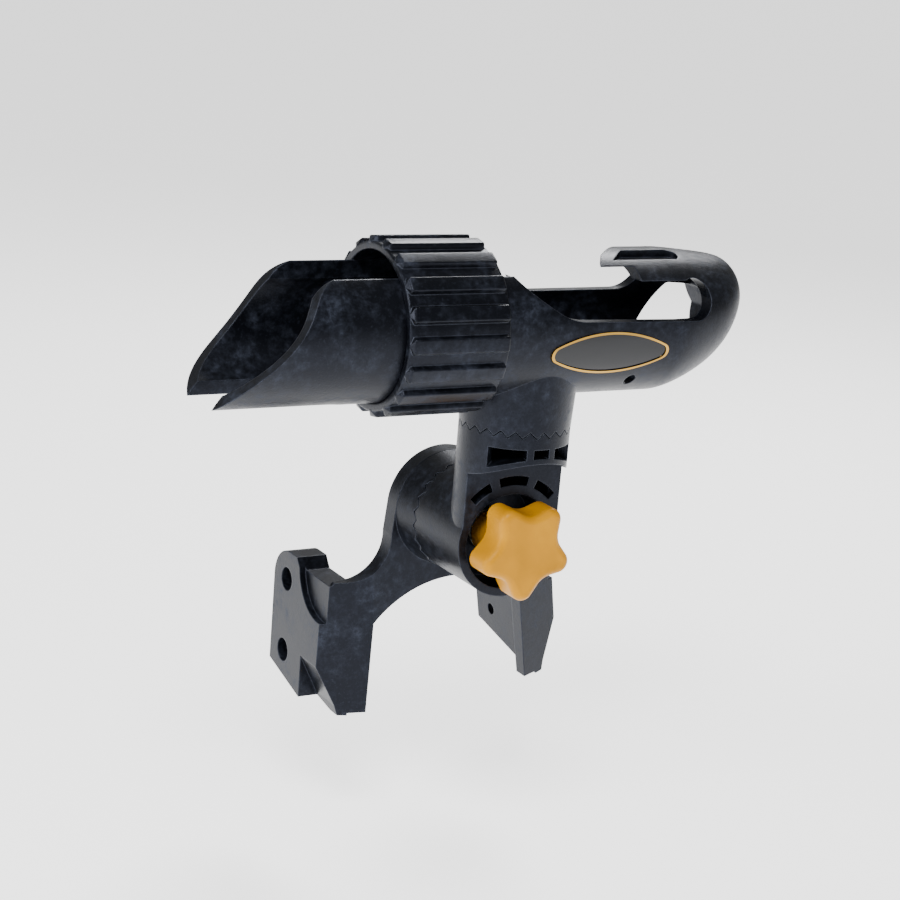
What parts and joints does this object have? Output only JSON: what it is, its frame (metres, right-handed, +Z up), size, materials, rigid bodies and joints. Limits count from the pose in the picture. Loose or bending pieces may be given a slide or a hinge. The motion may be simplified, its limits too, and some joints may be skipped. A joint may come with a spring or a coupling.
{
  "type": "fishing rod holder",
  "caption": "Open tube rod holder with turning lock ring and butt hook, on a toothed swivel and a knob-clamped toothed tilt joint, over a two-flange mounting bracket",
  "frame": {"origin": "on the tube's axis at the lock ring's front face", "axes": "+X along the tube to the butt hook, +Y from the knob to the bracket, +Z up"},
  "size_m": [0.2413, 0.14, 0.224],
  "materials": {
    "black_nylon": "satin moulded glass-filled nylon",
    "ring_nylon": "satin moulded glass-filled nylon",
    "elbow_nylon": "satin moulded glass-filled nylon",
    "bracket_nylon": "satin moulded glass-filled nylon",
    "knob_yellow": "satin moulded yellow-orange nylon",
    "badge_gold": "polished gilt rim",
    "badge_face": "gloss domed label",
    "cap_nylon": "satin moulded plug",
    "stainless": "plain stainless",
    "black_zinc": "black zinc plated steel",
    "insert_brass": "turned brass",
    "bearing_nylon": "natural nylon"
  },
  "bodies": {
    "base": {"base_bracket": "bracket_nylon", "clamp_stud": "stainless", "base_nut": "stainless", "nut_cap": "cap_nylon", "release_spring": "stainless"},
    "tilt_slider": {"tilt_bush": "bearing_nylon"},
    "elbow": {"elbow": "elbow_nylon", "swivel_nut": "black_zinc"},
    "swivel_seat": {"swivel_washer": "stainless"},
    "cradle": {"rod_cradle": "black_nylon", "badge_bezel": "badge_gold", "badge_plate": "badge_face", "swivel_cap": "cap_nylon", "swivel_bolt": "stainless", "swivel_spring_washer": "stainless"},
    "ring": {"lock_ring": "ring_nylon"},
    "knob_carriage": {"knob_washer": "stainless", "knob_bearing": "bearing_nylon"},
    "knob": {"clamp_knob": "knob_yellow", "knob_insert": "insert_brass"}
  },
  "joints": [
    {"name": "tilt_release", "type": "slide", "parent": "base", "child": "tilt_slider", "axis": [0, -1, 0], "range_m": [0, 0.004], "deforming": ["release_spring"]},
    {"name": "tilt", "type": "hinge", "parent": "tilt_slider", "child": "elbow", "pos_m": [0.0707, 0, -0.0929], "axis": [0, 1, 0], "range_deg": [-60.01, 60.01]},
    {"name": "swivel_lift", "type": "slide", "parent": "elbow", "child": "swivel_seat", "axis": [0, 0, 1], "range_m": [0, 0.0035]},
    {"name": "swivel", "type": "hinge", "parent": "swivel_seat", "child": "cradle", "pos_m": [0.0707, 0, -0.0424], "axis": [0, 0, 1], "continuous": true},
    {"name": "ring_turn", "type": "hinge", "parent": "cradle", "child": "ring", "pos_m": [0.0223, 0, 0], "axis": [1, 0, 0], "range_deg": [0, 110]},
    {"name": "knob_travel", "type": "slide", "parent": "base", "child": "knob_carriage", "axis": [0, -1, 0], "range_m": [0, 0.004]},
    {"name": "knob_spin", "type": "hinge", "parent": "knob_carriage", "child": "knob", "pos_m": [0.0707, 0, -0.0929], "axis": [0, -1, 0], "range_deg": [0, 1080]}
  ],
  "couplings": [
    {"joint": "knob_travel", "follows": "knob_spin", "m_per_rad": 0.00019894},
    {"joint": "tilt_release", "follows": "knob_spin", "m_per_rad": 0.00019894}
  ]
}
